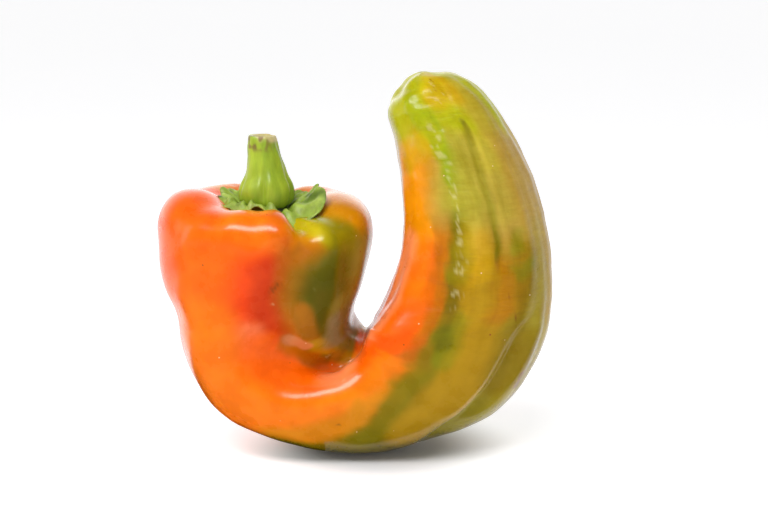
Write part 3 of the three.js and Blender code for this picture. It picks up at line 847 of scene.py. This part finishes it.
class PEPPER_OT_calyx(bpy.types.Operator):
    """Build the green collar with its veins and its frilled, paler edge"""

    bl_idname = "pepper.calyx"
    bl_label = "Pepper calyx"

    def execute(self, context):
        sizes = context.scene.pepper_greens
        piece = subdivided(merged_copy("calyx"), "calyx_collar", 2)
        points = read_vectors(piece.data.vertices, "co") / MM
        radius, turn = round_stem(points)
        # Lumps about 5 mm apart round the stalk's foot, and a flap that stands up at the right.
        lumps = np.cos(LUMP_COUNT * turn + 1.3 * ripple(points, (9, 9, 9), 44))
        ring = swell(radius, LUMP_RING, 2.2)
        flap = swell(turn, FLAP_ANGLE, 0.42) * smooth_step(radius, 11, 18)
        frill = ripple(points, (6, 6, 6), 45) * smooth_step(radius, 10, 16)
        lift = sizes.lump_height / MM * (0.4 + lumps) * ring + 0.5 * frill
        lift += sizes.flap_height / MM * flap
        # The front stands up at the ring of lumps and hangs down at its edge.
        front = smooth_step(np.sin(turn), 0.1, 0.6)
        lift += sizes.front_height / MM * front * swell(radius, LUMP_RING, 2.5)
        front_half = smooth_step(np.sin(turn), -0.2, 0.3)
        lift -= EDGE_DROP * front_half * smooth_step(radius, 12.5, 15) * (1 - flap)
        reach = sizes.flap_reach / MM * swell(turn, REACH_ANGLE, 0.3)
        reach *= smooth_step(radius, 12, 18)
        shift_skin(piece, np.column_stack((
            reach * np.cos(turn), -reach * np.sin(turn), lift,
        )))
        veins = np.cos(VEIN_COUNT * turn + 0.9 * ripple(points, (14, 14, 14), 41))
        edge = smooth_step(radius, 10.5, 15)
        relief = sizes.vein_height / MM * veins * smooth_step(radius, 4, 8)
        relief += 0.18 * ripple(points, (3, 3, 3), 42) * edge
        raise_skin(piece, relief)
        pale = 0.3 + 0.35 * lumps * ring + 0.35 * edge + 0.2 * ripple(points, (4, 4, 4), 43)
        leaf = blended(np.array(sizes.calyx), np.clip(pale, 0, 1), sizes.calyx_edge)
        withered = smooth_step(ripple(points, (5, 5, 5), 46), 0.9, 1.5) * edge
        # Painted shade darkens the crease beside the right flap.
        crease_shade = swell(turn, CREASE_ANGLE + 0.02 * (radius - 14), 0.07) * edge
        leaf = blended(leaf, np.maximum(0.8 * withered, 0.7 * crease_shade), sizes.calyx_shade)
        store_colours(piece, "paint", leaf)
        hand_over(piece, "calyx", leafy_collar())
        return {"FINISHED"}


# How many fibres and how many clefts of the foot go round the stalk.
FIBRE_COUNT = 13
CLEFT_COUNT = 5


class PEPPER_OT_stem(bpy.types.Operator):
    """Build the ridged stalk with its fibres and its dry cut end"""

    bl_idname = "pepper.stem"
    bl_label = "Pepper stem"

    def execute(self, context):
        sizes = context.scene.pepper_greens
        copy = merged_copy("stem")
        # Everything below the cut end is smoothed, and the cut keeps its edge.
        smooth_seam(copy, lambda at: at.z < CUT_HEIGHT - 3, 40)
        piece = subdivided(copy, "stem_stalk", 2)
        points = read_vectors(piece.data.vertices, "co") / MM
        radius, turn = round_stem(points)
        height = points[:, 2]
        fibres = np.cos(FIBRE_COUNT * turn + 0.8 * ripple(points, (9, 9, 40), 51))
        side = 1 - smooth_step(height, CUT_HEIGHT - 2, CUT_HEIGHT - 0.5)
        bulge = swell(height, FOOT_HEIGHT, 4)
        clefts = np.maximum(0, np.cos(CLEFT_COUNT * (turn - math.pi / 2))) ** 6
        relief = sizes.fibre_height / MM * fibres * side
        relief += sizes.bulge_height / MM * bulge * (1 - 1.4 * clefts)
        relief += 0.15 * ripple(points, (4, 4, 6), 52) * side
        raise_skin(piece, relief)
        top = smooth_step(height, CUT_HEIGHT - 1.5, CUT_HEIGHT - 0.3)
        hollow = sizes.hollow_depth / MM * top * (1 - smooth_step(radius, 1.4, 3.8))
        shift_skin(piece, np.outer(hollow, (0, 0, -1)))
        # Darker at random in streaks, and darker on the right-hand side as painted shade.
        streaks_and_side_shade = 0.35 + 0.3 * np.cos(turn - 0.5) + 0.3 * ripple(points, (4, 4, 18), 53)
        stalk = blended(np.array(sizes.stem), np.clip(streaks_and_side_shade, 0, 1), sizes.stem_shade)
        dry = top * (1 - smooth_step(radius, 4.3, 4.9))
        stalk = blended(stalk, dry, sizes.cut)
        rim = smooth_step(height, CUT_HEIGHT - 4.5, CUT_HEIGHT - 2.5)
        bruised = rim * smooth_step(np.cos(turn - 2.1), 0.3, 0.9)
        bruised *= smooth_step(ripple(points, (3, 3, 3), 54), -0.3, 0.6)
        stalk = blended(stalk, 0.8 * bruised, sizes.bruise)
        store_colours(piece, "paint", stalk)
        hand_over(piece, "stem", fibrous_stalk())
        return {"FINISHED"}


# Softboxes of the studio: name, power in watts, width and height in mm, and place in mm.
SOFTBOXES = (
    ("top_softbox", 3.3, 520, 180, (-150, -330, 540)),
    ("left_softbox", 0.26, 60, 400, (-620, -60, 260)),
    ("right_softbox", 0.2, 60, 400, (640, 60, 300)),
)
# The point in mm that all softboxes face.
LIT_POINT = (0, 0, 50)

# The floor, and dark cards just above it that only reflections see: left, right, near and far
# in mm. The cards keep white reflections off the front and the left side of the fruit.
FLOOR = (-6000, 6000, -6000, 6000)
DARK_CARDS = ((-1200, 1200, -1022, -22), (-1200, -10, -22, 50))
CARD_HEIGHT = 2

# Strength of the even light that falls on all surfaces from around.
EVEN_LIGHT = 0.37


def flat_piece(name, rectangles, height, material):
    """Add one object of level rectangles at a height in mm."""
    sheet = bmesh.new()
    for left, right, near, far in rectangles:
        edge = ((left, near), (right, near), (right, far), (left, far))
        sheet.faces.new([sheet.verts.new(Vector((x, y, height)) * MM) for x, y in edge])
    mesh = bpy.data.meshes.new(name)
    sheet.to_mesh(mesh)
    sheet.free()
    mesh.materials.append(material)
    piece = bpy.data.objects.new(name, mesh)
    bpy.context.scene.collection.objects.link(piece)
    return piece


def glowing_studio_floor():
    """Matt white studio paper that glows with painted light away from the fruit and takes a soft
    contact shadow near it.
    """
    material, tree = new_material("matt_studio_paper")
    place = add_node(tree, "ShaderNodeTexCoord").outputs["Object"]
    cloud = add_node(tree, "ShaderNodeTexNoise", {"Vector": place, "Scale": 2.0})
    tint = add_node(tree, "ShaderNodeMix", {
        0: cloud, 6: (*linear("#dcdbde"), 1), 7: (*linear("#e0e0e2"), 1),
    }, data_type="RGBA")
    # From 18 to 50 mm away from the fruit's foot the paper glows with painted light up to the
    # backdrop's white.
    away = add_node(tree, "ShaderNodeVectorMath", {
        0: place, 1: (0.008, 0.0, 0.0),
    }, operation="DISTANCE")
    lift = add_node(tree, "ShaderNodeMapRange", {
        "Value": away.outputs["Value"], "From Min": 0.018, "From Max": 0.05,
        "To Min": 0.03, "To Max": 0.66,
    }, interpolation_type="SMOOTHSTEP")
    paper = add_node(tree, "ShaderNodeBsdfPrincipled", {
        "Base Color": tint.outputs[2], "Roughness": 0.8, "Specular IOR Level": 0.1,
        "Emission Color": (1, 1, 1, 1), "Emission Strength": lift,
    })
    add_node(tree, "ShaderNodeOutputMaterial", {"Surface": paper})
    return material


def black_velvet():
    """Black velvet of a studio flag: it gives almost nothing back."""
    material, tree = new_material("black_velvet")
    place = add_node(tree, "ShaderNodeTexCoord").outputs["Object"]
    pile = add_node(tree, "ShaderNodeTexNoise", {"Vector": place, "Scale": 400.0})
    shade = add_node(tree, "ShaderNodeMix", {
        0: pile, 6: (*linear("#101010"), 1), 7: (*linear("#1c1c1c"), 1),
    }, data_type="RGBA")
    velvet = add_node(tree, "ShaderNodeBsdfPrincipled", {
        "Base Color": shade.outputs[2], "Roughness": 1.0, "Specular IOR Level": 0.0,
    })
    add_node(tree, "ShaderNodeOutputMaterial", {"Surface": velvet})
    return material


def white_studio():
    """Give a world of even light, which shows a white backdrop only behind the pepper."""
    world = bpy.data.worlds.new("white_studio")
    world.use_nodes = True
    tree = world.node_tree
    heading = add_node(tree, "ShaderNodeTexCoord").outputs["Generated"]
    rearward = add_node(tree, "ShaderNodeVectorMath", {
        0: heading, 1: (0.0, 1.0, -0.6),
    }, operation="DOT_PRODUCT")
    backdrop = add_node(tree, "ShaderNodeMapRange", {
        "Value": rearward.outputs["Value"], "From Min": -0.1, "From Max": 1.0,
        "To Min": 0.06, "To Max": 1.7,
    }, interpolation_type="SMOOTHSTEP")
    ray = add_node(tree, "ShaderNodeLightPath")
    strength = add_node(tree, "ShaderNodeMix", {
        0: ray.outputs["Is Diffuse Ray"], 2: backdrop, 3: EVEN_LIGHT,
    })
    background = tree.nodes["Background"]
    background.inputs["Color"].default_value = (1, 1, 1, 1)
    tree.links.new(strength.outputs[0], background.inputs["Strength"])
    return world


class PEPPER_OT_stage(bpy.types.Operator):
    """Build the pale floor, the soft light and the camera"""

    bl_idname = "pepper.stage"
    bl_label = "Pepper stage"

    def execute(self, context):
        scene = context.scene
        view = scene.pepper_stage
        floor = flat_piece("studio_floor", (FLOOR,), 0, glowing_studio_floor())
        flag = flat_piece("dark_flag", DARK_CARDS, CARD_HEIGHT, black_velvet())
        flag.visible_camera = False
        flag.visible_diffuse = False
        flag.visible_shadow = False

        middle = Vector(LIT_POINT) * MM
        for name, power, width, height, place in SOFTBOXES:
            lamp = bpy.data.lights.new(name, "AREA")
            lamp.shape = "RECTANGLE"
            lamp.energy = power
            lamp.size = width * MM
            lamp.size_y = height * MM
            stand = bpy.data.objects.new(name, lamp)
            stand.location = Vector(place) * MM
            stand.rotation_euler = (middle - stand.location).to_track_quat("-Z", "Y").to_euler()
            scene.collection.objects.link(stand)

        scene.world = white_studio()
        scene.view_settings.view_transform = "Standard"

        lens = bpy.data.cameras.new("photo_camera")
        lens.lens = view.lens
        camera = bpy.data.objects.new("photo_camera", lens)
        aim = Vector((view.aim_side, 0, view.aim_height))
        back = Vector((0, -math.cos(view.elevation), math.sin(view.elevation)))
        camera.location = aim + view.distance * back
        camera.rotation_euler = (math.pi / 2 - view.elevation, 0, 0)
        scene.collection.objects.link(camera)
        scene.camera = camera
        return {"FINISHED"}


class PEPPER_PT_panel(bpy.types.Panel):
    """The pepper's pieces, in the order in which they are built"""

    bl_idname = "PEPPER_PT_panel"
    bl_label = "Hooked sweet pepper"
    bl_space_type = "VIEW_3D"
    bl_region_type = "UI"
    bl_category = "Pepper"

    def draw(self, context):
        for operator in OPERATORS:
            self.layout.operator(operator.bl_idname)
        for group, kind in GROUPS.items():
            box = self.layout.box()
            for name in kind.__annotations__:
                box.prop(getattr(context.scene, group), name)


GROUPS = {
    "pepper_skin": PepperSkinColours,
    "pepper_fruit": PepperFruitSettings,
    "pepper_greens": PepperGreensSettings,
    "pepper_stage": PepperStageSettings,
}
OPERATORS = (PEPPER_OT_fruit, PEPPER_OT_calyx, PEPPER_OT_stem, PEPPER_OT_stage)


def register():
    for kind in (*GROUPS.values(), *OPERATORS, PEPPER_PT_panel):
        bpy.utils.register_class(kind)
    for name, kind in GROUPS.items():
        setattr(bpy.types.Scene, name, PointerProperty(type=kind))


def unregister():
    for name in GROUPS:
        delattr(bpy.types.Scene, name)
    for kind in reversed((*GROUPS.values(), *OPERATORS, PEPPER_PT_panel)):
        bpy.utils.unregister_class(kind)


def main():
    """Build every piece in order."""
    register()
    bpy.ops.pepper.fruit()
    bpy.ops.pepper.calyx()
    bpy.ops.pepper.stem()
    bpy.ops.pepper.stage()


if __name__ == "__main__":
    main()
